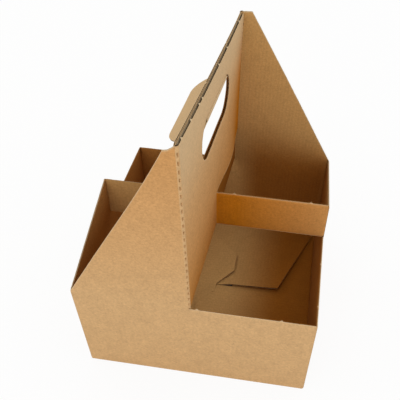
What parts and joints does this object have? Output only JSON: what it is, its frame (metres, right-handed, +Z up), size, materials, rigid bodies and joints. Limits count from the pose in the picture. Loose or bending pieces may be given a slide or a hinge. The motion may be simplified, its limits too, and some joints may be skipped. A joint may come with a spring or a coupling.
{
  "type": "cardboard cup carrier",
  "caption": "Folded corrugated cardboard carrier for takeaway cups, with an open tray, a divider of straps and a tall two-ply centre handle with a hand hole.",
  "frame": {"origin": "middle of the base, on the surface that the carrier stands on", "axes": "+Z up, +X to the right across the handle, +Y to the back along the handle; the handle itself is turned 1.7 degrees from +Y"},
  "size_m": [0.19, 0.192, 0.24],
  "materials": {
    "cardboard": "uncoated kraft liner, matt"
  },
  "bodies": {
    "root": {"cup_carrier": "cardboard"}
  },
  "joints": []
}
